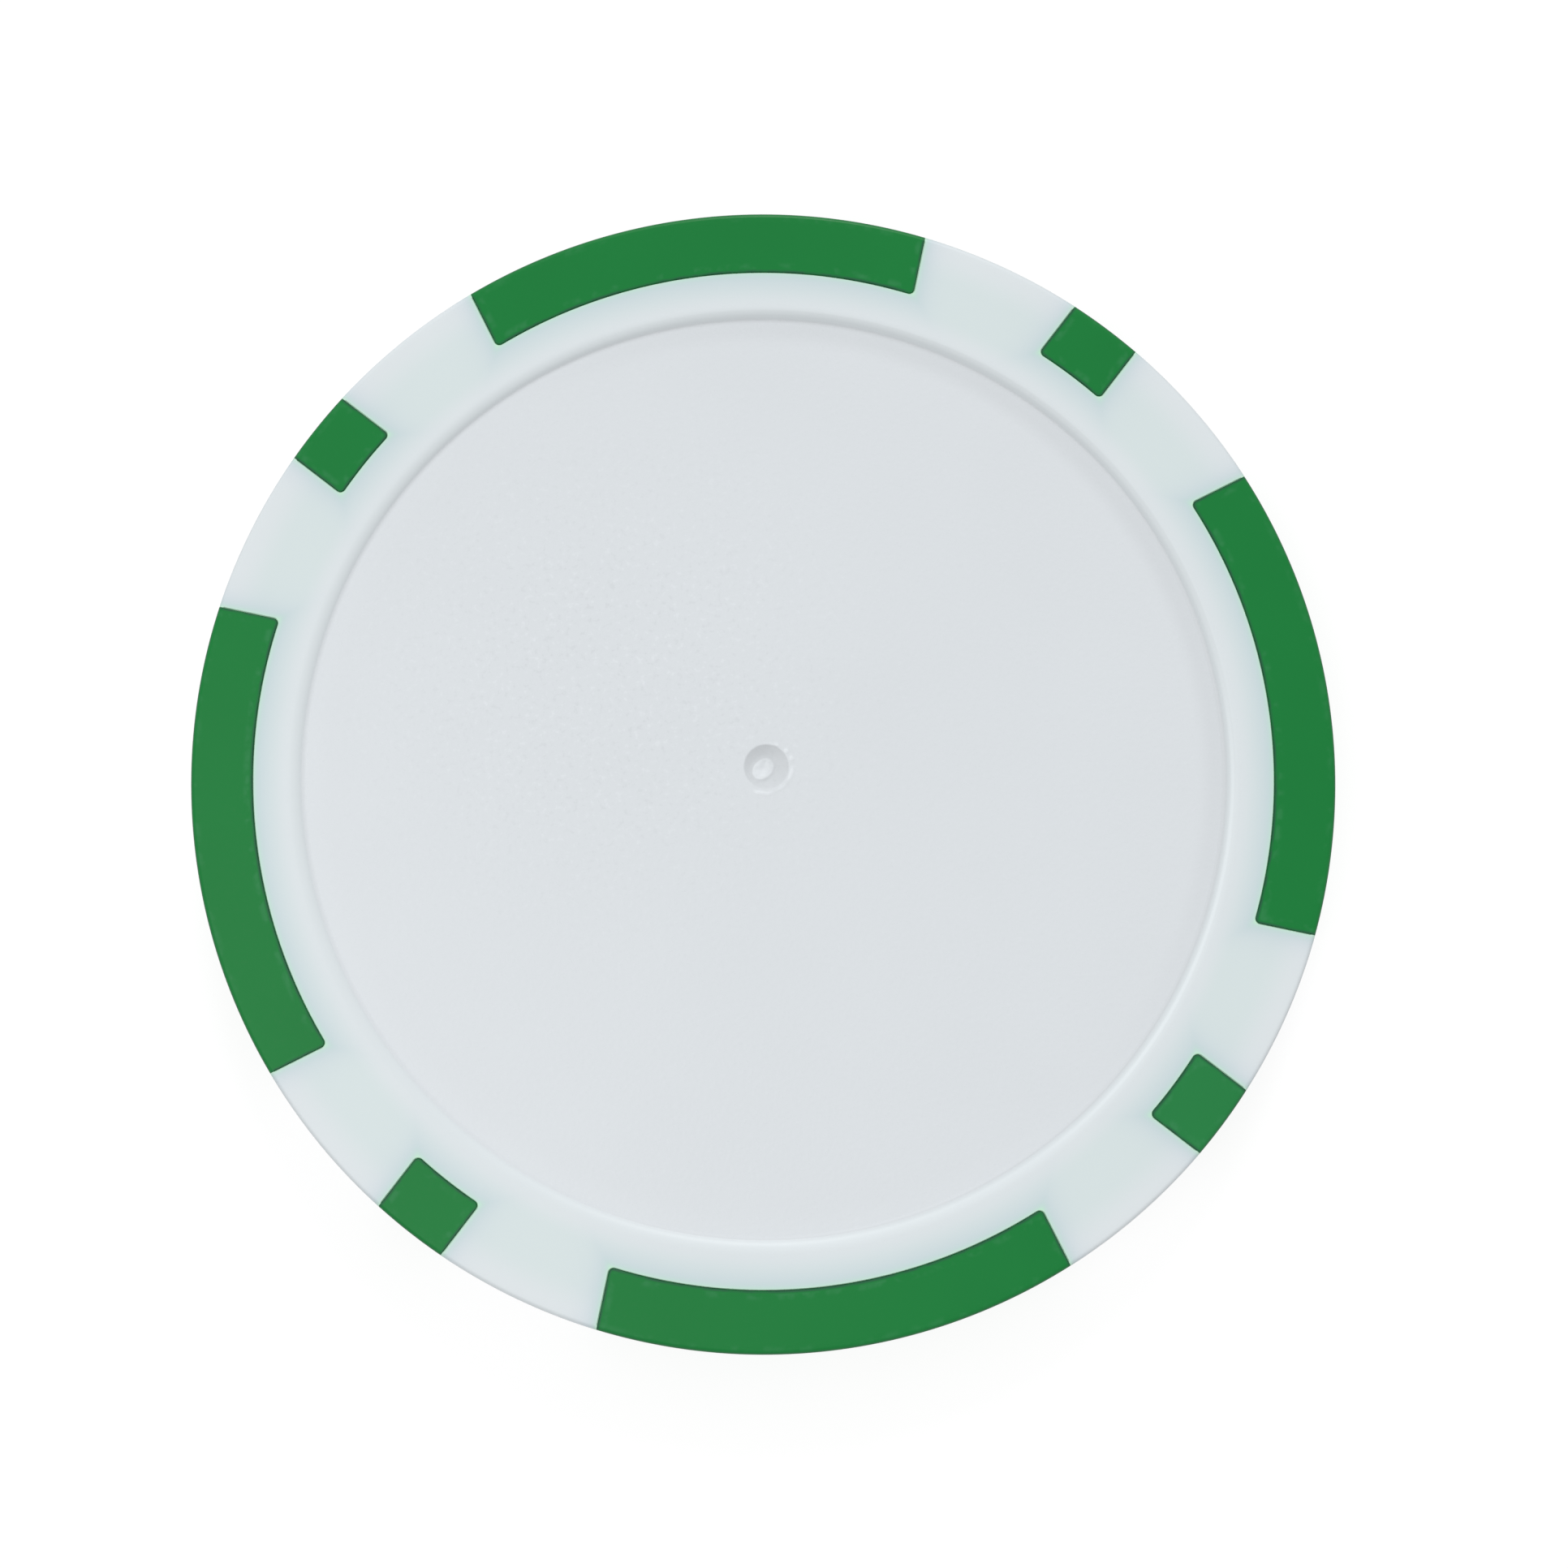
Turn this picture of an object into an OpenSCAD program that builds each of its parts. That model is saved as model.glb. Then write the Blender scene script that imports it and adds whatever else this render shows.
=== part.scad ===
// Poker chip: a steel slug held in a green ring of edge spots, both moulded into a white body.
// The chip lies flat, with its underside on z = 0 and its axis on +Z. Long spots lie on the X and Y axes.

/* [Chip] */
// Diameter of the chip
chip_d = 40; // [37:0.5:48]
// Thickness of the chip at its rim
chip_t = 3.3; // [2.8:0.1:4.5]
// Radius of the rounded edges of the rim
edge_r = 0.2; // [0.1:0.05:0.8]

/* [Label recess] */
// Width of the raised face of the rim, from the chip's edge to the lip of the recess
rim_face_w = 3.4; // [3:0.1:6]
// Depth of the label recess in each face
recess_depth = 0.2; // [0.1:0.05:0.4]
// Radius of the rounded lip of the recess
recess_lip_r = 0.6; // [0.1:0.05:1]

/* [Gate mark] */
// Diameter of the dish round the gate scar, in the middle of the front face
gate_dish_d = 1.6; // [1:0.1:3]
// Depth of the dish below the recess floor
gate_dish_depth = 0.14; // [0.08:0.01:0.3]
// Width of the dish's sloping wall
gate_wall_w = 0.3; // [0.05:0.01:0.35]
// Diameter of the scar in the dish
gate_scar_d = 0.74; // [0.3:0.02:0.9]
// Drop from the recess floor to the top of the scar, so that a label lies flat
gate_scar_drop = 0.04; // [0.02:0.01:0.06]

/* [Edge spots] */
// Number of long spots round the rim, with a short spot between each two
spot_pairs = 4; // [2:1:5]
// Depth of a spot, from the chip's edge inwards
spot_depth = 2.18; // [1.6:0.01:3]
// Angle that a long spot covers at the chip's edge
long_spot_angle = 48.3; // [20:0.1:60]
// Angle by which a long spot's ends lean away from the radius
long_spot_lean = 4.85; // [0:0.05:10]
// Width of a short spot, between its parallel sides
short_spot_w = 2.7; // [1.5:0.1:6]
// Radius of the inner corners of a spot
spot_corner_r = 0.18; // [0.1:0.01:0.5]
// Width of the fine seam round a spot
seam_w = 0.08; // [0.04:0.01:0.2]
// Depth of the fine seam round a spot
seam_depth = 0.06; // [0.03:0.01:0.15]

/* [Spot ring] */
// White wall between the ring and the chip's edge
rim_wall = 1; // [0.6:0.05:1.4]
// Green wall of the ring outside the slug
ring_web = 2; // [1.2:0.1:3]
// Reach of the ring's lips over the slug
grip_reach = 0.6; // [0.3:0.05:1.5]
// Thickness of each lip over the slug
grip_lip_t = 0.4; // [0.2:0.05:0.6]

/* [Steel slug] */
// White skin between the slug and the floor of each recess
skin_t = 0.8; // [0.5:0.05:0.9]
// Radius of the slug's tumbled edges
slug_edge_r = 0.15; // [0.05:0.05:0.3]
// Number of holes that let the white plastic flow through the slug
flow_holes = 4; // [2:1:8]
// Diameter of a flow hole
flow_hole_d = 3; // [1.5:0.1:4]
// Diameter of the circle that the flow holes lie on
flow_circle_d = 16; // [10:0.5:22]

/* [Hidden] */
$fn = 144;
cut_overrun = 1;
// Share of its radius by which a spot's rounded corner reaches past the edges that it joins, so that they cross
corner_overlap_share = 0.005;

chip_r = chip_d / 2;
mid_z = chip_t / 2;
lip_centre_z = chip_t - recess_lip_r;
lip_fall = min(recess_lip_r, recess_depth);
lip_w = sqrt(lip_fall * (2 * recess_lip_r - lip_fall));
recess_top_r = chip_r - rim_face_w;
recess_floor_r = recess_top_r - lip_w;
recess_floor_z = chip_t - recess_depth;

gate_dish_r = gate_dish_d / 2;
gate_floor_r = gate_dish_r - gate_wall_w;
gate_floor_z = recess_floor_z - gate_dish_depth;
gate_scar_h = gate_dish_depth - gate_scar_drop;

spot_inner_r = chip_r - spot_depth;
spot_pitch = 360 / spot_pairs;
long_half_angle = long_spot_angle / 2;
short_half_angle = asin(short_spot_w / chip_d);

slug_r = chip_r - rim_wall - ring_web;
slug_t = chip_t - 2 * (recess_depth + skin_t);
slug_round_r = min(slug_edge_r, slug_t / 2);
ring_outer_r = chip_r - rim_wall;
ring_inner_r = slug_r - grip_reach;
ring_t = slug_t + 2 * grip_lip_t;

// Right half of a disc's section, standing on y = 0, with both outer corners rounded
module disc_section(radius, thickness, round_r) {
    square([radius - round_r, thickness]);
    translate([0, round_r])
        square([radius, thickness - 2 * round_r]);
    for (y = [round_r, thickness - round_r])
        translate([radius - round_r, y])
            circle(r = round_r);
}

// Section of the space over the recess floor in the front face, with its rounded lip.
// A lip with a smaller radius than the recess is deep ends in an upright wall.
module recess_section() {
    difference() {
        translate([0, recess_floor_z])
            square([recess_top_r, recess_depth + cut_overrun]);
        translate([recess_top_r, lip_centre_z])
            circle(r = recess_lip_r);
        translate([recess_floor_r, lip_centre_z - cut_overrun])
            square([lip_w, cut_overrun]);
    }
}

// Section of the dish round the gate scar, with its flat floor and sloping wall
module gate_dish_section() {
    polygon([
        [0, gate_floor_z],
        [gate_floor_r, gate_floor_z],
        [gate_dish_r, recess_floor_z],
        [gate_dish_r, recess_floor_z + cut_overrun],
        [0, recess_floor_z + cut_overrun]
    ]);
}

// The round form of the whole chip before its faces are recessed
module rim_form() {
    rotate_extrude()
        disc_section(chip_r, chip_t, edge_r);
}

// Its children, on the front face and again on the back face
module both_faces() {
    children();
    translate([0, 0, chip_t])
        mirror([0, 0, 1])
            children();
}

// Point on the straight end of a spot, at a distance from the chip's axis
function end_point(offset, normal, along, distance) =
    offset * normal + sqrt(distance * distance - offset * offset) * along;

// Outline of a spot centred on +X and running past the chip's edge.
// Its inner edge and its two ends are moved outwards by grow.
module spot_outline(half_angle, lean, grow) {
    inner_r = spot_inner_r - grow;
    corner_r = spot_corner_r + grow;
    corner_reach = corner_r * (1 - corner_overlap_share);
    past_r = chip_r + cut_overrun;
    along = [cos(half_angle - lean), sin(half_angle - lean)];
    normal = [along.y, -along.x];
    offset = -chip_r * sin(lean) - grow;

    inside = end_point(offset, normal, along, inner_r - corner_r);
    sharp = end_point(offset, normal, along, inner_r);
    outside = end_point(offset, normal, along, past_r);
    apex = [past_r * past_r / outside.x, 0];

    centre = end_point(offset + corner_reach, normal, along, inner_r + corner_reach);
    inward = centre / norm(centre);
    difference() {
        polygon([inside, outside, apex, [outside.x, -outside.y], [inside.x, -inside.y]]);
        circle(r = inner_r);
        for (side = [0, 1])
            mirror([0, side])
                difference() {
                    polygon([
                        centre,
                        centre - 2 * corner_r * normal,
                        sharp - corner_r * (normal + along),
                        centre - 2 * corner_r * inward
                    ]);
                    translate(centre)
                        circle(r = corner_r);
                }
    }
}

// Outlines of all the spots round the rim
module spot_outlines(grow = 0) {
    for (i = [0 : spot_pairs - 1])
        rotate(i * spot_pitch) {
            spot_outline(long_half_angle, long_spot_lean, grow);
            rotate(spot_pitch / 2)
                spot_outline(short_half_angle, short_half_angle, grow);
        }
}

// The plain slug without its flow holes
module slug_form() {
    translate([0, 0, mid_z - slug_t / 2])
        rotate_extrude()
            disc_section(slug_r, slug_t, slug_round_r);
}

// The plain ring that links the spots, before the slug's rim is let into it
module ring_form() {
    translate([0, 0, mid_z - ring_t / 2])
        rotate_extrude()
            translate([ring_inner_r, 0])
                square([ring_outer_r - ring_inner_r, ring_t]);
}

// Stamped and tumbled steel disc that gives the chip its weight
module steel_slug() {
    color([0.58, 0.59, 0.61])
        difference() {
            slug_form();
            for (i = [0 : flow_holes - 1])
                rotate((i + 1 / 2) * 360 / flow_holes)
                    translate([flow_circle_d / 2, 0, mid_z - slug_t / 2 - cut_overrun])
                        cylinder(d = flow_hole_d, h = slug_t + 2 * cut_overrun);
        }
}

// First shot: green spots through the whole thickness, linked by a ring that grips the slug's rim
module spot_ring() {
    color([0.13, 0.49, 0.24])
        difference() {
            union() {
                ring_form();
                intersection() {
                    rim_form();
                    translate([0, 0, -cut_overrun])
                        linear_extrude(chip_t + 2 * cut_overrun)
                            spot_outlines();
                }
            }
            slug_form();
        }
}

// Second shot: white faces and rim, flowed over the slug and the ring and between the spots
module white_body() {
    color([0.86, 0.88, 0.89]) {
        difference() {
            rim_form();
            both_faces() {
                rotate_extrude()
                    recess_section();
                translate([0, 0, chip_t - seam_depth])
                    linear_extrude(seam_depth + cut_overrun)
                        spot_outlines(seam_w);
            }
            translate([0, 0, -cut_overrun])
                linear_extrude(chip_t + 2 * cut_overrun)
                    spot_outlines();
            ring_form();
            steel_slug();
            rotate_extrude()
                gate_dish_section();
        }
        gate_scar();
    }
}

// Scar of the gate, standing in its dish with its top below the recess floor.
// It is rooted in the skin under the dish.
module gate_scar() {
    root = (skin_t - gate_dish_depth) / 2;
    translate([0, 0, gate_floor_z - root])
        cylinder(d = gate_scar_d, h = root + gate_scar_h);
}

steel_slug();
spot_ring();
white_body();
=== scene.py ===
"""Poker chip: white body, green ring of edge spots and hidden steel slug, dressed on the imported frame."""

import logging
import math
from dataclasses import dataclass
from enum import Enum
from typing import NamedTuple, Sequence

import bmesh
import bpy
from mathutils import Euler, Matrix, Vector, noise


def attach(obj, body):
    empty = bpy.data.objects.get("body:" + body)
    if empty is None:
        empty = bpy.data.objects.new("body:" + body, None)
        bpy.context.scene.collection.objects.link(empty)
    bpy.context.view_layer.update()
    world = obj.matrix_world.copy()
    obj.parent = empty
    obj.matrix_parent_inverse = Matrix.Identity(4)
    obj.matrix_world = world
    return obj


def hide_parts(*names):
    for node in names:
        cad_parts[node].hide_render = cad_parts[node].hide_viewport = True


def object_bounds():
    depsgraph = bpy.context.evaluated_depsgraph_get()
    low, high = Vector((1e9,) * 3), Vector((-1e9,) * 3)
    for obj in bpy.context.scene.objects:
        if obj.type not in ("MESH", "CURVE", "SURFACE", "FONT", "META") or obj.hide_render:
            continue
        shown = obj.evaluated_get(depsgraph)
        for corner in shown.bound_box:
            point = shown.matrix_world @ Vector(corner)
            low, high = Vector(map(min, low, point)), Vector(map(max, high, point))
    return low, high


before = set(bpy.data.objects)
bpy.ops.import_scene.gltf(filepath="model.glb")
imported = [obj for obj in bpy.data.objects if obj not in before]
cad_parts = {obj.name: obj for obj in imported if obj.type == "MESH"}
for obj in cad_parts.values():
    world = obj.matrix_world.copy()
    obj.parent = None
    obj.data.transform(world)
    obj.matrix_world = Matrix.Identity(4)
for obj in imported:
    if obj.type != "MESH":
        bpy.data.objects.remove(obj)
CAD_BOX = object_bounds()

LOG = logging.getLogger("poker_chip")
BODY = "root"
MM = 0.001
MICRON = 0.001 * MM
PER_MM = 1 / MM
TURN = 2 * math.pi
RIGHT_ANGLE = math.pi / 2

SHADER_TREE = "ShaderNodeTree"
SHAPE_TREE = "GeometryNodeTree"
VALUE = "NodeSocketFloat"
VECTOR = "NodeSocketVector"
COUNT = "NodeSocketInt"
OBJECT = "NodeSocketObject"
MATERIAL = "NodeSocketMaterial"
GEOMETRY = "NodeSocketGeometry"

Colour = tuple[float, float, float]
Pair = tuple[float, float]
Row = list[int]
Socket = bpy.types.NodeSocket
Feed = float | int | Sequence[float] | Socket


class Face(Enum):
    """The chip's two faces."""

    FRONT = "front"
    BACK = "back"


class SpotKind(Enum):
    """The two kinds of edge spot that take turns round the rim."""

    LONG = "long_spot"
    SHORT = "short_spot"


class Slot(Enum):
    """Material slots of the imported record."""

    STEEL = "slug_steel"
    GREEN = "green_plastic"
    WHITE = "white_plastic"


def unit(angle: float) -> Vector:
    """Return the level direction at an angle round the chip's axis."""
    return Vector((math.cos(angle), math.sin(angle)))


def angle_of(point: Vector) -> float:
    """Return the angle of a point round the chip's axis."""
    return math.atan2(point.y, point.x)


def polar(radius: float, angle: float, height: float) -> Vector:
    """Return the point at a radius and angle round the chip's axis, at a height."""
    return Vector((radius * math.cos(angle), radius * math.sin(angle), height))


def blend(first: float, second: float, share: float) -> float:
    """Return the value that lies at a share of the way from first to second."""
    return first + (second - first) * share


def spread(first: float, second: float, steps: int) -> list[float]:
    """Return steps + 1 even values from first to second."""
    return [blend(first, second, i / steps) for i in range(steps + 1)]


def ease(value: float, low: float, high: float) -> float:
    """Return 0 below low and 1 above high, with a smooth step between them."""
    share = min(max((value - low) / (high - low), 0.0), 1.0)
    return share * share * (3 - 2 * share)


@dataclass(frozen=True)
class ChipSizes:
    """Sizes that the pieces share, in metres and radians."""

    radius: float
    thickness: float
    edge_radius: float = 0.2 * MM
    rim_face_width: float = 3.4 * MM
    recess_depth: float = 0.2 * MM
    lip_radius: float = 0.6 * MM
    spot_pairs: int = 4
    spot_depth: float = 2.18 * MM
    long_angle: float = math.radians(48.3)
    long_lean: float = math.radians(4.85)
    short_width: float = 2.7 * MM
    corner_radius: float = 0.18 * MM
    seam_half_width: float = 0.035 * MM
    seam_depth: float = 0.06 * MM
    ring_outer_wall: float = 1.0 * MM
    ring_width: float = 2.6 * MM
    ring_thickness: float = 2.1 * MM

    @classmethod
    def from_frame(cls) -> "ChipSizes":
        """Return the sizes with the chip's radius and thickness taken from the CAD box."""
        low, high = CAD_BOX
        return cls(radius=(high.x - low.x) / 2, thickness=high.z - low.z)

    @property
    def middle(self) -> float:
        """Height of the plane halfway between the faces."""
        return self.thickness / 2

    @property
    def spot_inner_radius(self) -> float:
        """Radius of the inner edge of every spot, along the bottom of its seam."""
        return self.radius - self.spot_depth

    @property
    def seam_inner_radius(self) -> float:
        """Radius at which the seam along a spot's inner edge starts in the white face."""
        return self.spot_inner_radius - self.seam_half_width

    @property
    def seam_height(self) -> float:
        """Height of the bottom of the seams in the front face."""
        return self.thickness - self.seam_depth

    @property
    def flat_radius(self) -> float:
        """Radius at which the flat of the rim face turns into its rounded edge."""
        return self.radius - self.edge_radius

    @property
    def recess_top_radius(self) -> float:
        """Radius at which the rim face turns into the lip of the label recess."""
        return self.radius - self.rim_face_width

    @property
    def lip_turn(self) -> float:
        """Angle through which the lip's arc falls from the rim face to the recess floor."""
        return math.acos(1 - self.recess_depth / self.lip_radius)

    @property
    def recess_floor_radius(self) -> float:
        """Radius of the recess floor, at the foot of the lip."""
        return self.recess_top_radius - self.lip_radius * math.sin(self.lip_turn)

    @property
    def floor_middle(self) -> Vector:
        """Middle of the recess floor in the front face."""
        return Vector((0.0, 0.0, self.thickness - self.recess_depth))

    @property
    def pitch(self) -> float:
        """Angle from one long spot to the next."""
        return TURN / self.spot_pairs

    @property
    def ring_middle_radius(self) -> float:
        """Radius of the middle of the hidden ring that links the spots."""
        return self.radius - self.ring_outer_wall - self.ring_width / 2


class RimPoint(NamedTuple):
    """A point on the rim's surface, in polar form."""

    radius: float
    angle: float
    height: float

    def turned(self, centre: float, way: int) -> "RimPoint":
        """Return the point for a spot that stands at an angle, mirrored where way is -1."""
        return self._replace(angle=centre + way * self.angle)

    def toward(self, other: "RimPoint", share: float) -> "RimPoint":
        """Return the point that lies at a share of the way to another."""
        return RimPoint(*(blend(mine, its, share) for mine, its in zip(self, other)))


@dataclass(frozen=True)
class RimSection:
    """Section of the rim from the end of its flat face to the parting line at half height."""

    sizes: ChipSizes
    edge_steps: int = 8
    parting_half_width: float = 0.05 * MM
    parting_height: float = 0.012 * MM
    flat_shares: tuple[float, ...] = (0.35, 0.7, 0.9, 1.0)
    side_seam_share: float = 0.2

    def stations(self, face: Face, sink: float) -> list[Pair]:
        """Follow the rounded edge and the side wall.

        Args:
            face: The half of the chip. The crest of the parting line belongs to the front one.
            sink: Depth of the line below the surface.

        Returns:
            Radii and heights, laid out for the front half.
        """
        sizes = self.sizes
        reach, centre = sizes.edge_radius - sink, sizes.thickness - sizes.edge_radius
        made = [
            (sizes.flat_radius + reach * math.cos(turn), centre + reach * math.sin(turn))
            for turn in spread(RIGHT_ANGLE, 0.0, self.edge_steps)[1:]
        ]
        made.append((sizes.radius - sink, sizes.middle + self.parting_half_width))
        if face is Face.FRONT:
            made.append((sizes.radius + self.parting_height - sink, sizes.middle))
        return made


@dataclass(frozen=True)
class SpotOutline:
    """Outline of an edge spot centred on +X: an inner arc, rounded corners and straight, leaning ends."""

    sizes: ChipSizes
    half_angle: float
    lean: float
    columns: int
    corner_steps: int = 8

    @classmethod
    def of_kind(cls, sizes: ChipSizes, kind: SpotKind) -> "SpotOutline":
        """Make the outline of one kind of spot.

        Args:
            sizes: The chip's sizes.
            kind: The kind of spot. A short one has parallel sides.

        Returns:
            The outline.
        """
        if kind is SpotKind.LONG:
            return cls(sizes, sizes.long_angle / 2, sizes.long_lean, columns=48)
        half_angle = math.asin(sizes.short_width / 2 / sizes.radius)
        return cls(sizes, half_angle, half_angle, columns=12)

    @property
    def along(self) -> Vector:
        """Outward direction of the spot's straight end."""
        return unit(self.half_angle - self.lean)

    @property
    def inward(self) -> Vector:
        """Direction that is square to the straight end and points into the spot."""
        return Vector((self.along.y, -self.along.x))

    @property
    def offset(self) -> float:
        """Distance of the straight end's line from the chip's axis, measured into the spot."""
        return -self.sizes.radius * math.sin(self.lean)

    @property
    def corner_centre(self) -> Vector:
        """Centre of the rounded inner corner."""
        corner = self.sizes.corner_radius
        return self._on_end(self.offset + corner, self.sizes.spot_inner_radius + corner)

    @property
    def inner_angle(self) -> float:
        """Angle at which the inner arc meets the rounded corner."""
        return angle_of(self.corner_centre)

    def _on_end(self, offset: float, distance: float) -> Vector:
        """Return the point of a line along the end, at a distance from the chip's axis."""
        return offset * self.inward + math.sqrt(distance**2 - offset**2) * self.along

    def end_angle(self, distance: float, grow: float) -> float:
        """Return the angle of the end, moved outwards by grow, at a distance from the chip's axis."""
        return angle_of(self._on_end(self.offset - grow, distance))

    def corner_points(self, grow: float) -> list[Vector]:
        """Follow the rounded corner from the inner arc to the straight end.

        Args:
            grow: Distance that the outline is moved outwards.

        Returns:
            The points.
        """
        centre, reach = self.corner_centre, self.sizes.corner_radius + grow
        first, last = angle_of(-centre), angle_of(-self.inward)
        sweep = (last - first + math.pi) % TURN - math.pi
        return [centre + reach * unit(turn) for turn in spread(first, first + sweep, self.corner_steps)]

    def line(self, section: RimSection, face: Face, grow: float, sink: float = 0.0) -> list[RimPoint]:
        """Follow the outline's upper end from the inner arc to the parting line.

        Args:
            section: The rim's section. Past the flat of the rim only a share of grow and sink is left.
            face: The half of the chip.
            grow: Distance that the outline is moved outwards.
            sink: Depth of the line below the surface.

        Returns:
            The points of the line, from the corner over the flat and the rounded edge down the side.
        """
        top = self.sizes.thickness - sink
        made = [RimPoint(point.length, angle_of(point), top) for point in self.corner_points(grow)]
        start = made[-1].radius
        for share in section.flat_shares:
            radius = blend(start, self.sizes.flat_radius, share)
            made.append(RimPoint(radius, self.end_angle(radius, grow), top))
        kept = section.side_seam_share
        for radius, height in section.stations(face, sink * kept):
            made.append(RimPoint(radius, self.end_angle(radius, grow * kept), height))
        return made

    def seam(self, section: RimSection, face: Face) -> list[RimPoint]:
        """Return the line along the bottom of the seam."""
        return self.line(section, face, 0.0, self.sizes.seam_depth)


@dataclass(frozen=True)
class Burr:
    """A raised crumb or lip of plastic at the edge of the gate mark."""

    turn: float
    radius: float
    span: float
    height: float
    width: float = 0.07 * MM

    def rise(self, radius: float, angle: float) -> float:
        """Return the burr's height at a place.

        Args:
            radius: Distance from the mark's middle.
            angle: Angle round it.

        Returns:
            The height.
        """
        off = abs((angle - self.turn + math.pi) % TURN - math.pi)
        ridge = math.exp(-(((radius - self.radius) / self.width) ** 2))
        return self.height * ridge * (1 - ease(off, 0.0, self.span))


@dataclass(frozen=True)
class GateMark:
    """Shallow dish near the middle of the front face, with the torn scar of the gate standing in it."""

    centre_x: float = 0.078 * MM
    centre_y: float = 0.133 * MM
    dish_radius: float = 0.8 * MM
    dish_depth: float = 0.14 * MM
    scar_half_length: float = 0.44 * MM
    scar_half_width: float = 0.33 * MM
    scar_turn: float = math.radians(37)
    scar_soft: float = 0.35
    scar_x: float = -0.127 * MM
    scar_y: float = -0.048 * MM
    scar_height: float = 0.05 * MM
    scar_fall: float = 0.3
    scar_cup: float = 0.025 * MM
    tear_depth: float = 0.02 * MM
    tear_size: float = 0.2 * MM
    burrs: tuple[Burr, ...] = (
        Burr(turn=-0.4, radius=0.9 * MM, span=0.4, height=24 * MICRON),
        Burr(turn=-1.1, radius=0.89 * MM, span=0.7, height=10 * MICRON),
        Burr(turn=-1.88, radius=0.94 * MM, span=0.5, height=24 * MICRON),
        Burr(turn=0.2, radius=0.93 * MM, span=0.15, height=22 * MICRON),
        Burr(turn=0.55, radius=0.89 * MM, span=0.15, height=24 * MICRON),
        Burr(turn=1.02, radius=0.86 * MM, span=0.2, height=14 * MICRON),
    )
    rows: int = 72
    blend_share: float = 1.4
    margin: float = 2.2

    @property
    def reach(self) -> float:
        """Radius of the patch of the recess floor that is laid out round the mark."""
        return self.dish_radius * self.margin

    @property
    def middle(self) -> Vector:
        """Middle of the dish, on the recess floor."""
        return Vector((self.centre_x, self.centre_y, 0.0))

    @property
    def scar_middle(self) -> Vector:
        """Middle of the scar, on the recess floor."""
        return self.middle + Vector((self.scar_x, self.scar_y, 0.0))

    def place(self, radius: float, angle: float) -> Vector:
        """Return a point of the patch, round the mark's middle inside and round the axis at its edge."""
        share = 1 - ease(radius, self.dish_radius * self.blend_share, self.reach)
        return polar(radius, angle, self.height(radius, angle)) + share * self.middle

    def height(self, radius: float, angle: float) -> float:
        """Return the height of the surface above the recess floor.

        Args:
            radius: Distance from the mark's middle.
            angle: Angle round it.

        Returns:
            The height, which is below 0 in the dish.
        """
        x, y = radius * math.cos(angle), radius * math.sin(angle)
        dish = -self.dish_depth * max(1 - (radius / self.dish_radius) ** 2, 0.0)
        along, across = Matrix.Rotation(-self.scar_turn, 2) @ Vector((x - self.scar_x, y - self.scar_y))
        along, across = along / self.scar_half_length, across / self.scar_half_width
        from_scar = math.hypot(along, across)
        on_scar = 1 - ease(from_scar, 1 - self.scar_soft, 1 + self.scar_soft)
        lift = self.scar_height * (1 - self.scar_fall * along) - self.scar_cup * max(1 - from_scar**2, 0.0)
        lift += self.tear_depth * noise.noise(Vector((x / self.tear_size, y / self.tear_size, 0.0)))
        return dish + on_scar * lift + sum(burr.rise(radius, angle) for burr in self.burrs)


class FaceRows(NamedTuple):
    """Rows of points at which one half of a piece meets the other half.

    Attributes:
        arcs: For each spot, the seam's line along its inner arc.
        bands: For each band from the inner arc over the rim's edge, its rows, which start and end on a seam.
    """

    arcs: list[Row]
    bands: list[list[Row]]


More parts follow.
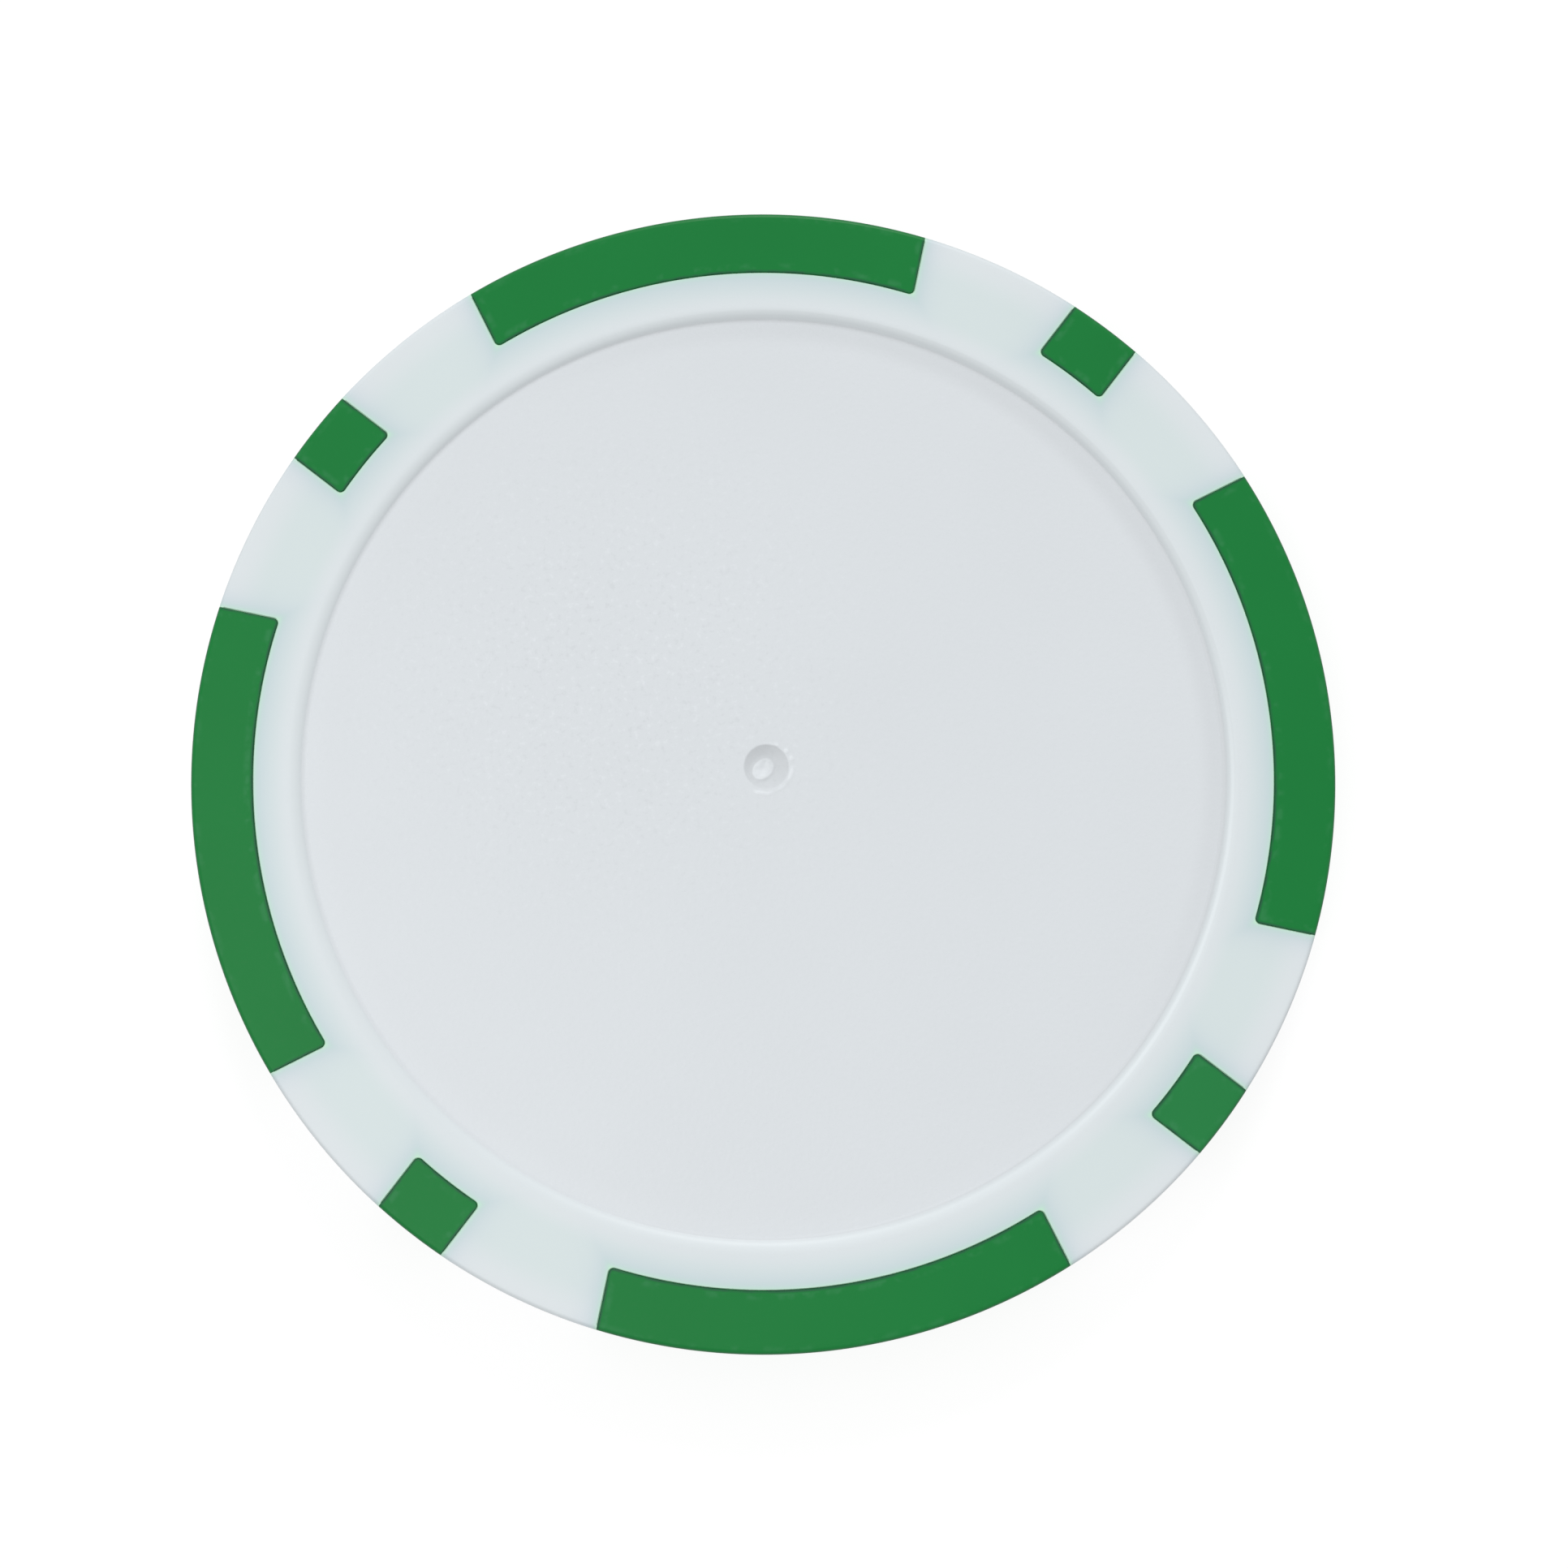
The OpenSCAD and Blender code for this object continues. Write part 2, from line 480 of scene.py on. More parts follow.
class Shell:
    """Points and faces of a closed surface while it is laid out."""

    def __init__(self, thickness: float) -> None:
        """Start an empty shell.

        Args:
            thickness: The chip's thickness.
        """
        self.thickness = thickness
        self.points: list[Vector] = []
        self.faces: list[Row] = []

    def point(self, face: Face, place: Vector) -> int:
        """Add a point, which is laid out for the front half and mirrored for the back one.

        Args:
            face: The half.
            place: The point on the front half of the chip.

        Returns:
            The point's index.
        """
        height = place.z if face is Face.FRONT else self.thickness - place.z
        self.points.append(Vector((place.x, place.y, height)))
        return len(self.points) - 1

    def arc(self, face: Face, radius: float, angles: Sequence[float], height: float) -> Row:
        """Add a row of points round the chip's axis and return their indices."""
        return [self.point(face, polar(radius, angle, height)) for angle in angles]

    def bridge(self, first: Row, second: Row, closed: bool = False) -> Row:
        """Lay four-sided faces between two rows of points.

        Args:
            first: One row.
            second: The other row, with as many points.
            closed: Whether the rows run all the way round.

        Returns:
            The second row.
        """
        count = len(first)
        for i in range(count if closed else count - 1):
            j = (i + 1) % count
            self.faces.append([first[i], first[j], second[j], second[i]])
        return second

    def cover(self, rows: list[Row]) -> list[Row]:
        """Lay faces over a whole band.

        Args:
            rows: The band's rows, with as many points each.

        Returns:
            The rows.
        """
        for row, following in zip(rows, rows[1:]):
            self.bridge(row, following)
        return rows

    def end_wall(self, front: Row, back: Row) -> None:
        """Lay the upright wall under a spot's straight end and corner. Its side has one face.

        Args:
            front: Line on the front half, from the inner arc to the crest of the parting line.
            back: Line on the back half, without the crest.
        """
        side_points = 2
        edge = len(back) - side_points
        self.bridge(front[:edge], back[:edge])
        self.faces.append([*front[edge - 1 :], *reversed(back[edge - 1 :])])

    def closed(self, name: str, front: FaceRows, back: FaceRows) -> bpy.types.Mesh:
        """Join the halves along the spots' inner arcs, the parting line and the spots' ends.

        Args:
            name: The mesh's name.
            front: Rows of the front half.
            back: Rows of the back half.

        Returns:
            The whole shell as a mesh whose faces point outwards.
        """
        for arc, under in zip(front.arcs, back.arcs):
            self.bridge(arc, under)
        for band, under in zip(front.bands, back.bands):
            self.bridge(band[-1], under[-1])
            for end in (0, -1):
                self.end_wall([row[end] for row in band], [row[end] for row in under])
        made = bpy.data.meshes.new(name)
        made.from_pydata(self.points, [], self.faces)
        work = bmesh.new()
        work.from_mesh(made)
        bmesh.ops.recalc_face_normals(work, faces=work.faces)
        work.to_mesh(made)
        work.free()
        made.update()
        return made


def opaque(value: Feed) -> Feed:
    """Return a colour with full alpha, or the socket that was given."""
    return value if isinstance(value, Socket) else (*value, 1.0)


class Graph:
    """Adds nodes to one node tree, with plain values or other nodes' sockets as inputs."""

    ELLIPSE_HALF_HEIGHT = 1.0 * MM

    def __init__(self, tree: bpy.types.NodeTree) -> None:
        """Work on this node tree."""
        self.tree = tree

    @classmethod
    def emptied(cls, data: bpy.types.Material | bpy.types.World) -> "Graph":
        """Take out the first nodes of a material or a sky.

        Args:
            data: The material or the sky.

        Returns:
            Its graph.
        """
        data.use_nodes = True
        data.node_tree.nodes.clear()
        return cls(data.node_tree)

    def node(self, kind: str, **settings: object) -> bpy.types.Node:
        """Add a node and set its properties.

        Args:
            kind: Blender's name for the node.
            **settings: Properties of the node.

        Returns:
            The node.
        """
        made = self.tree.nodes.new(kind)
        for key, value in settings.items():
            setattr(made, key, value)
        return made

    def feed(self, socket: Socket, value: Feed) -> None:
        """Link a socket to an input, or set the input's plain value.

        Args:
            socket: The input.
            value: The other socket or the plain value.
        """
        if isinstance(value, Socket):
            self.tree.links.new(value, socket)
        else:
            socket.default_value = value

    def feed_first(self, node: bpy.types.Node, *values: Feed) -> Socket:
        """Feed a node's first inputs in order.

        Args:
            node: The node.
            *values: Values or sockets.

        Returns:
            The node's first output.
        """
        for socket, value in zip(node.inputs, values):
            self.feed(socket, value)
        return node.outputs[0]

    def fill(self, node: bpy.types.Node, **inputs: Feed) -> bpy.types.Node:
        """Feed a node's inputs by name, with underscores for spaces.

        Args:
            node: The node.
            **inputs: Values or sockets.

        Returns:
            The node.
        """
        for name, value in inputs.items():
            self.feed(node.inputs[name.replace("_", " ")], value)
        return node

    def put(self, kind: str, **inputs: Feed) -> Socket:
        """Add a node, feed its inputs by name and return its first output."""
        return self.fill(self.node(kind), **inputs).outputs[0]

    def math(self, operation: str, *values: Feed) -> Socket:
        """Add a Math node and return its result."""
        return self.feed_first(self.node("ShaderNodeMath", operation=operation), *values)

    def add(self, first: Feed, second: Feed) -> Socket:
        """Return the sum of two values."""
        return self.math("ADD", first, second)

    def sub(self, first: Feed, second: Feed) -> Socket:
        """Return what a second value leaves of a first one."""
        return self.math("SUBTRACT", first, second)

    def mul(self, first: Feed, second: Feed) -> Socket:
        """Return the product of two values."""
        return self.math("MULTIPLY", first, second)

    def greater(self, first: Feed, second: Feed) -> Socket:
        """Return the greater of two values."""
        return self.math("MAXIMUM", first, second)

    def step(self, value: Feed, low: float, high: float, at_low: Feed = 0.0, at_high: Feed = 1.0) -> Socket:
        """Return a smooth step from one result to another while a value goes from low to high."""
        made = self.node("ShaderNodeMapRange", interpolation_type="SMOOTHSTEP")
        return self.feed_first(made, value, low, high, at_low, at_high)

    def parts(self, vector: Socket) -> tuple[Socket, ...]:
        """Return the three parts of a vector."""
        return tuple(self.fill(self.node("ShaderNodeSeparateXYZ"), Vector=vector).outputs)

    def ellipse(self, vector: Socket, centre: Vector, turn: float, *halves: float) -> tuple[Socket, Socket]:
        """Measure a place against a level ellipse.

        Args:
            vector: The place.
            centre: The ellipse's centre. Places far above or below it count as outside.
            turn: Angle of its first axis.
            *halves: Half of its length along each axis.

        Returns:
            The distance from the centre, which is 1 on the ellipse, and its part along the first axis.
        """
        scale = (*halves, self.ELLIPSE_HALF_HEIGHT)
        placed = self.node("ShaderNodeMapping", vector_type="TEXTURE")
        self.fill(placed, Vector=vector, Location=centre, Rotation=(0.0, 0.0, turn), Scale=scale)
        length = self.node("ShaderNodeVectorMath", operation="LENGTH")
        self.fill(length, Vector=placed.outputs[0])
        return length.outputs["Value"], self.parts(placed.outputs[0])[0]

    def fade(self, distance: Feed, length: float) -> Socket:
        """Return a value that is 1 at no distance and dies away over a length."""
        return self.math("EXPONENT", self.math("DIVIDE", distance, -length))

    def mix(self, share: Feed, first: Feed, second: Feed, how: str = "MIX") -> Socket:
        """Add a colour mix.

        Args:
            share: Share of the second colour.
            first: First colour.
            second: Second colour.
            how: Blender's name for the way of mixing.

        Returns:
            The mixed colour.
        """
        made = self.node("ShaderNodeMix", data_type="RGBA", blend_type=how)
        colours = [socket for socket in made.inputs if socket.type == "RGBA"]
        self.feed(made.inputs[0], share)
        for socket, value in zip(colours, (first, second)):
            self.feed(socket, opaque(value))
        return next(socket for socket in made.outputs if socket.type == "RGBA")

    def noise(self, vector: Socket, scale: Feed, detail: float, roughness: float) -> Socket:
        """Return the value of a noise texture."""
        return self.put("ShaderNodeTexNoise", Vector=vector, Scale=scale, Detail=detail, Roughness=roughness)


class Group(Graph):
    """A node group with named sockets while its nodes are laid out."""

    def __init__(self, name: str, kind: str, inputs: dict[str, str], outputs: dict[str, str]) -> None:
        """Start an empty group.

        Args:
            name: The group's name.
            kind: Blender's name for the kind of tree.
            inputs: Names and kinds of the inputs.
            outputs: Names and kinds of the outputs.
        """
        super().__init__(bpy.data.node_groups.new(name, kind))
        for way, sockets in (("INPUT", inputs), ("OUTPUT", outputs)):
            for socket, socket_kind in sockets.items():
                self.tree.interface.new_socket(socket, in_out=way, socket_type=socket_kind)
        self.given = self.node("NodeGroupInput").outputs

    def finished(self, **results: Socket) -> bpy.types.NodeTree:
        """Feed the group's outputs by name and return its tree."""
        self.fill(self.node("NodeGroupOutput"), **results)
        return self.tree


class SharedEffects:
    """Shader node groups that more than one finish uses. Their lengths are in millimetres."""

    def __init__(self, sizes: ChipSizes) -> None:
        """Build the groups.

        Args:
            sizes: The chip's sizes.
        """
        self.spot_field = self._spot_field(sizes)
        self.moulded_grain = self._moulded_grain()
        self.mottle = self._mottle()

    @staticmethod
    def _spot_field(sizes: ChipSizes) -> bpy.types.NodeTree:
        """Build the group that measures how far a point lies inside the nearest spot.

        Args:
            sizes: The chip's sizes.

        Returns:
            The group. Its distance is negative outside the spots.
        """
        g = Group("spot_field", SHADER_TREE, {"Vector": VECTOR}, {"Inside": VALUE, "Radius": VALUE})
        outline = SpotOutline.of_kind(sizes, SpotKind.LONG)
        scaled = g.node("ShaderNodeVectorMath", operation="SCALE")
        g.fill(scaled, Vector=g.given["Vector"], Scale=PER_MM)
        x, y, _ = g.parts(scaled.outputs[0])
        radius = g.math("SQRT", g.add(g.mul(x, x), g.mul(y, y)))
        angle = g.math("ARCTAN2", y, x)
        turns = g.math("ROUND", g.math("DIVIDE", angle, sizes.pitch))
        folded = g.math("ABSOLUTE", g.sub(angle, g.mul(turns, sizes.pitch)))
        depth = g.sub(radius, sizes.spot_inner_radius * PER_MM)
        across = g.mul(g.mul(radius, g.math("COSINE", folded)), outline.inward.x)
        beside = g.mul(g.mul(radius, g.math("SINE", folded)), outline.inward.y)
        from_end = g.sub(g.add(across, beside), outline.offset * PER_MM)
        off_short = g.mul(radius, g.math("SINE", g.sub(sizes.pitch / 2, folded)))
        from_side = g.sub(sizes.short_width / 2 * PER_MM, off_short)
        corner = sizes.corner_radius * PER_MM
        in_long, in_short = (g.math("SMOOTH_MIN", end, depth, corner) for end in (from_end, from_side))
        return g.finished(Inside=g.greater(in_long, in_short), Radius=radius)

    @staticmethod
    def _moulded_grain() -> bpy.types.NodeTree:
        """Build the group for the fine grain that a mould or a tumbling drum leaves.

        Returns:
            The group.
        """
        detail, roughness, pit_share = 3.0, 0.6, 0.4
        pit_range, speck_range = (0.3, 0.45), (0.55, 0.72)
        outputs = {"Height": VALUE, "Specks": VALUE, "Pits": VALUE}
        g = Group("moulded_grain", SHADER_TREE, {"Vector": VECTOR, "Grain": VALUE}, outputs)
        scale = g.math("DIVIDE", PER_MM, g.given["Grain"])
        rough = g.noise(g.given["Vector"], scale, detail, roughness)
        cells = g.put("ShaderNodeTexVoronoi", Vector=g.given["Vector"], Scale=scale)
        height = g.add(g.mul(rough, 1 - pit_share), g.mul(cells, pit_share))
        pits = g.step(rough, *pit_range, 1.0, 0.0)
        return g.finished(Height=height, Specks=g.step(rough, *speck_range), Pits=pits)

    @staticmethod
    def _mottle() -> bpy.types.NodeTree:
        """Build the group for the slow change of shade in a moulded or tumbled surface.

        Returns:
            The group. Its shade lies round 1.
        """
        detail, roughness, middle = 2.0, 0.5, 0.5
        inputs = {"Vector": VECTOR, "Patch": VALUE, "Amount": VALUE}
        g = Group("mottle", SHADER_TREE, inputs, {"Shade": VALUE})
        scale = g.math("DIVIDE", PER_MM, g.given["Patch"])
        cloud = g.sub(g.noise(g.given["Vector"], scale, detail, roughness), middle)
        return g.finished(Shade=g.add(g.mul(cloud, g.given["Amount"]), 1.0))


class Material:
    """A Principled material while its nodes are laid out."""

    def __init__(self, slot: Slot, effects: SharedEffects) -> None:
        """Start the material of a slot.

        Args:
            slot: The slot.
            effects: The shared node groups.
        """
        self.data = bpy.data.materials.new(slot.value)
        self.data.use_nodes = True
        self.graph = Graph(self.data.node_tree)
        self.effects = effects
        self.shader = next(n for n in self.data.node_tree.nodes if n.type == "BSDF_PRINCIPLED")
        self.place = self.graph.node("ShaderNodeTexCoord").outputs["Object"]

    def effect(self, tree: bpy.types.NodeTree, **inputs: Feed) -> bpy.types.NodeOutputs:
        """Place a shared effect with values for its named inputs, and return its outputs."""
        made = self.graph.node("ShaderNodeGroup", node_tree=tree)
        return self.graph.fill(made, Vector=self.place, **inputs).outputs

    def grain(self, size: float) -> bpy.types.NodeOutputs:
        """Place the moulded grain and return its outputs."""
        return self.effect(self.effects.moulded_grain, Grain=size)

    def tint(self, colour: Feed, shade: Socket) -> Socket:
        """Return a colour made lighter or darker by a shade."""
        grey = self.graph.put("ShaderNodeCombineColor", Red=shade, Green=shade, Blue=shade)
        return self.graph.mix(1.0, colour, grey, "MULTIPLY")

    def mottled(self, colour: Feed, patch: float, amount: float) -> Socket:
        """Return a colour whose shade changes slowly, by an amount from patch to patch."""
        return self.tint(colour, self.effect(self.effects.mottle, Patch=patch, Amount=amount)["Shade"])

    def bump(self, height: Socket, depth: float) -> Socket:
        """Return a normal that follows a height whose full range has this depth."""
        return self.graph.put("ShaderNodeBump", Strength=1.0, Distance=depth, Height=height)

    def polished(self, roughness: Feed, specks: Socket, polish: float) -> Socket:
        """Return a roughness that is lower on the grain's specks."""
        return self.graph.sub(roughness, self.graph.mul(specks, polish))

    def finished(self, **inputs: Feed) -> bpy.types.Material:
        """Feed the shader's inputs by name and return the material."""
        self.graph.fill(self.shader, **inputs)
        return self.data


@dataclass(frozen=True)
class Grain:
    """Fine grain of a whole surface, with specks that are smoother than the rest.

    Attributes:
        size: Size of the grains, in millimetres.
        depth: Height of the highest grains over the lowest places.
        roughness: Roughness between the specks.
        polish: How much less of it the specks have.
    """

    size: float
    depth: float
    roughness: float
    polish: float

    def inputs(self, made: Material) -> dict[str, Socket]:
        """Lay the grain on a material.

        Args:
            made: The material.

        Returns:
            The inputs that it gives the shader.
        """
        grain = made.grain(self.size)
        rough = made.polished(self.roughness, grain["Specks"], self.polish)
        return {"Normal": made.bump(grain["Height"], self.depth), "Roughness": rough}


@dataclass(frozen=True)
class PaintedLightBand:
    """A round band of painted shade or painted highlight on a face, whose shade changes with the direction
    from the chip's axis.

    Attributes:
        inside: Radii between which it sets in, in millimetres.
        outside: Radii between which it ends.
        turn: Direction that it is measured along, in degrees.
        span: Parts along that direction, from -1 to 1, between which the shade changes.
        shades: Shades before and after the change.
        unit: Radius that counts as 1 along the direction.
    """

    inside: Pair
    outside: Pair
    turn: float
    span: Pair
    shades: Pair
    unit: float = 16.2 * MM

    def shade(self, made: Material, radius: Socket) -> Socket:
        """Paint the band's shade or highlight.

        Args:
            made: The material.
            radius: Distance from the chip's axis in millimetres.

        Returns:
            The shade, which is 1 outside the band.
        """
        g = made.graph
        _, along = g.ellipse(made.place, Vector(), math.radians(self.turn), self.unit, self.unit)
        within = g.step(radius, *self.inside, 1.0, g.step(along, *self.span, *self.shades))
        return g.step(radius, *self.outside, within, 1.0)


@dataclass(frozen=True)
class GatePaintedLight:
    """Painted light in the gate mark: painted shade in its dish, darker on the key lamp's side; the scar
    whitened where the plastic was torn, with a painted highlight towards one end; painted highlights on the
    raised burrs.
    """

    # Painted shade in the dish, from its darker side to its lighter one.
    dish: Pair = (0.82, 0.91)
    dish_turn: float = math.radians(-97)
    dish_edge: Pair = (0.93, 1.03)
    # Whitened torn plastic, lighter towards one end of the scar as a painted highlight.
    scar: Pair = (1.08, 0.99)
    scar_edge: Pair = (0.85, 1.05)
    # Painted highlight on the raised burrs.
    burr: float = 1.08
    burr_heights: Pair = (2.0 * MICRON, 15.0 * MICRON)
    burr_reach: Pair = (1.3, 1.4)

    def shade(self, made: Material, gate: GateMark, floor: Vector) -> Socket:
        """Paint the mark's shade and highlights.

        Args:
            made: The material.
            gate: The mark.
            floor: Middle of the recess floor.

        Returns:
            The shade, which is 1 everywhere else.
        """
        g, place = made.graph, made.place
        size = gate.dish_radius
        from_dish, down = g.ellipse(place, floor + gate.middle, self.dish_turn, size, size)
        sizes = gate.scar_half_length, gate.scar_half_width
        from_scar, along = g.ellipse(place, floor + gate.scar_middle, gate.scar_turn, *sizes)
        low, high = (floor.z + rise for rise in self.burr_heights)
        # Painted highlight on the burrs that stand above the floor.
        raised = g.step(g.parts(place)[2], low, high, 1.0, self.burr)
        # Scar whitened where torn, with a painted highlight towards one end.
        torn = g.step(along, -1.0, 1.0, *self.scar)
        # Painted shade in the dish, darker on the key lamp's side, where its wall faces away from that lamp.
        dull = g.step(down, -1.0, 1.0, *self.dish)
        in_dish = g.step(from_scar, *self.scar_edge, torn, dull)
        around = g.step(from_dish, *self.burr_reach, raised, 1.0)
        return g.step(from_dish, *self.dish_edge, in_dish, around)


@dataclass(frozen=True)
class PaintedGlints:
    """Painted glinting on the specks of the recess floor's grain and painted shade in its pits, strongest in
    a patch beside the floor's middle.
    """

    grain: float = 0.22
    patch_x: float = -5.0 * MM
    patch_y: float = 4.0 * MM
    reach: float = 11.5 * MM
    fade: Pair = (0.15, 1.0)
    least: float = 0.15
    painted_glint: float = 0.055
    painted_pit_shade: float = -0.05

    def shade(self, made: Material, floor: Vector, on_floor: Socket) -> Socket:
        """Paint the glinting specks and the shade in the pits.

        Args:
            made: The material.
            floor: Middle of the recess floor.
            on_floor: 1 on the floor and 0 on the rim, which has no such grains.

        Returns:
            The shade, which is 1 between the grains.
        """
        g, grain = made.graph, made.grain(self.grain)
        middle = floor + Vector((self.patch_x, self.patch_y, 0.0))
        away, _ = g.ellipse(made.place, middle, 0.0, self.reach, self.reach)
        # The painted glinting and pit shade are strongest in the patch and fade away from it.
        strength = g.mul(g.step(away, *self.fade, 1.0, self.least), on_floor)
        change = g.add(g.mul(grain["Specks"], self.painted_glint), g.mul(grain["Pits"], self.painted_pit_shade))
        return g.add(g.mul(change, strength), 1.0)


@dataclass(frozen=True)
class WhitePlastic:
    """Satin white second shot, with a spark-textured recess floor and green showing faintly through it.

    Lengths that name no unit are in millimetres. Its bands and gate mark carry painted shade and painted
    highlights, and its floor's specks painted glinting.
    """

    colour: Colour = (0.722, 0.757, 0.785)
    rim_colour: Colour = (0.738, 0.788, 0.81)
    halo_colour: Colour = (0.5, 0.605, 0.69)
    fringe_colour: Colour = (0.56, 0.86, 0.64)
    ring_colour: Colour = (0.688, 0.771, 0.776)
    halo_length: float = 0.36
    halo_share: float = 0.85
    fringe_length: float = 0.1
    ring_inside: Pair = (16.6, 17.4)
    ring_outside: Pair = (18.5, 19.7)
    floor_edge: Pair = (16.1, 16.25)
    # Painted shade on the recess floor's edge and on the lip, darker on one side of the chip, and in the
    # last band a painted highlight along the lip.
    bands: tuple[PaintedLightBand, ...] = (
        # Painted shade on the floor beside the lip, darkest towards 35 degrees.
        PaintedLightBand(inside=(15.1, 15.8), outside=(16.06, 16.18), turn=35, span=(-0.2, 1.0), shades=(1.01, 0.935)),
        # Painted shade at the lip's foot towards 335 degrees.
        PaintedLightBand(inside=(16.0, 16.08), outside=(16.14, 16.22), turn=335, span=(0.5, 1.0), shades=(1.0, 0.945)),
        # Painted shade at the lip's foot, everywhere but towards 195 degrees.
        PaintedLightBand(inside=(16.08, 16.16), outside=(16.2, 16.33), turn=15, span=(-1.0, 0.2), shades=(1.0, 0.925)),
        # Painted shade on the lip towards 45 degrees.
        PaintedLightBand(inside=(16.2, 16.3), outside=(16.42, 16.5), turn=45, span=(0.4, 1.0), shades=(1.0, 0.93)),
        # Painted highlight along the lip towards 332 degrees.
        PaintedLightBand(inside=(16.28, 16.34), outside=(16.38, 16.45), turn=332, span=(0.8, 1.0), shades=(1.0, 1.065)),
    )
    gate_painted_light: GatePaintedLight = GatePaintedLight()
    painted_glints: PaintedGlints = PaintedGlints()
    mottle_patch: float = 7.0
    mottle_amount: float = 0.035
    floor_grain: float = 0.17
    rim_grain: float = 0.12
    floor_grain_depth: float = 7.0 * MICRON
    rim_grain_share: float = 0.2
    floor_roughness: float = 0.3
    rim_roughness: float = 0.38
    speck_polish: float = 0.06
    specular: float = 0.265

    def _colour(self, made: Material, field: bpy.types.NodeOutputs, on_rim: Socket) -> Socket:
        """Mix the plain colours of floor and rim with the green that shows through over the hidden ring, a
        darker bluish halo beside the spots and a mint fringe at their edges.

        Args:
            made: The material.
            field: Distance from the spots and from the chip's axis.
            on_rim: 1 on the rim and 0 on the floor.

        Returns:
            The colour.
        """
        g, radius = made.graph, field["Radius"]
        away = g.greater(g.mul(field["Inside"], -1.0), 0.0)
        over_ring = g.mul(g.step(radius, *self.ring_inside), g.step(radius, *self.ring_outside, 1.0, 0.0))
        colour = g.mix(over_ring, g.mix(on_rim, self.colour, self.rim_colour), self.ring_colour)
        colour = g.mix(g.mul(g.fade(away, self.halo_length), self.halo_share), colour, self.halo_colour)
        colour = g.mix(g.fade(away, self.fringe_length), colour, self.fringe_colour)
        return made.mottled(colour, self.mottle_patch, self.mottle_amount)

    def make(self, effects: SharedEffects, gate: GateMark, floor: Vector) -> bpy.types.Material:
        """Build the material.

        Args:
            effects: The shared node groups.
            gate: The gate mark.
            floor: Middle of the recess floor.

        Returns:
            The material.
        """
        made = Material(Slot.WHITE, effects)
        g, field = made.graph, made.effect(effects.spot_field)
        radius = field["Radius"]
        on_rim = g.step(radius, *self.floor_edge)
        on_floor = g.sub(1.0, on_rim)
        # Painted shade and highlights round the lip and in the gate mark, and painted glinting on the floor,
        # tint the colour.
        shades = [band.shade(made, radius) for band in self.bands]
        shades += [self.gate_painted_light.shade(made, gate, floor), self.painted_glints.shade(made, floor, on_floor)]
        colour = self._colour(made, field, on_rim)
        for shade in shades:
            colour = made.tint(colour, shade)
        floor_grain, rim_grain = made.grain(self.floor_grain), made.grain(self.rim_grain)
        rim_height = g.mul(g.mul(rim_grain["Height"], self.rim_grain_share), on_rim)
        height = g.add(g.mul(floor_grain["Height"], on_floor), rim_height)
        roughness = g.step(radius, *self.floor_edge, self.floor_roughness, self.rim_roughness)
        return made.finished(
            Base_Color=colour,
            Normal=made.bump(height, self.floor_grain_depth),
            Roughness=made.polished(roughness, floor_grain["Specks"], self.speck_polish),
            Specular_IOR_Level=self.specular,
        )


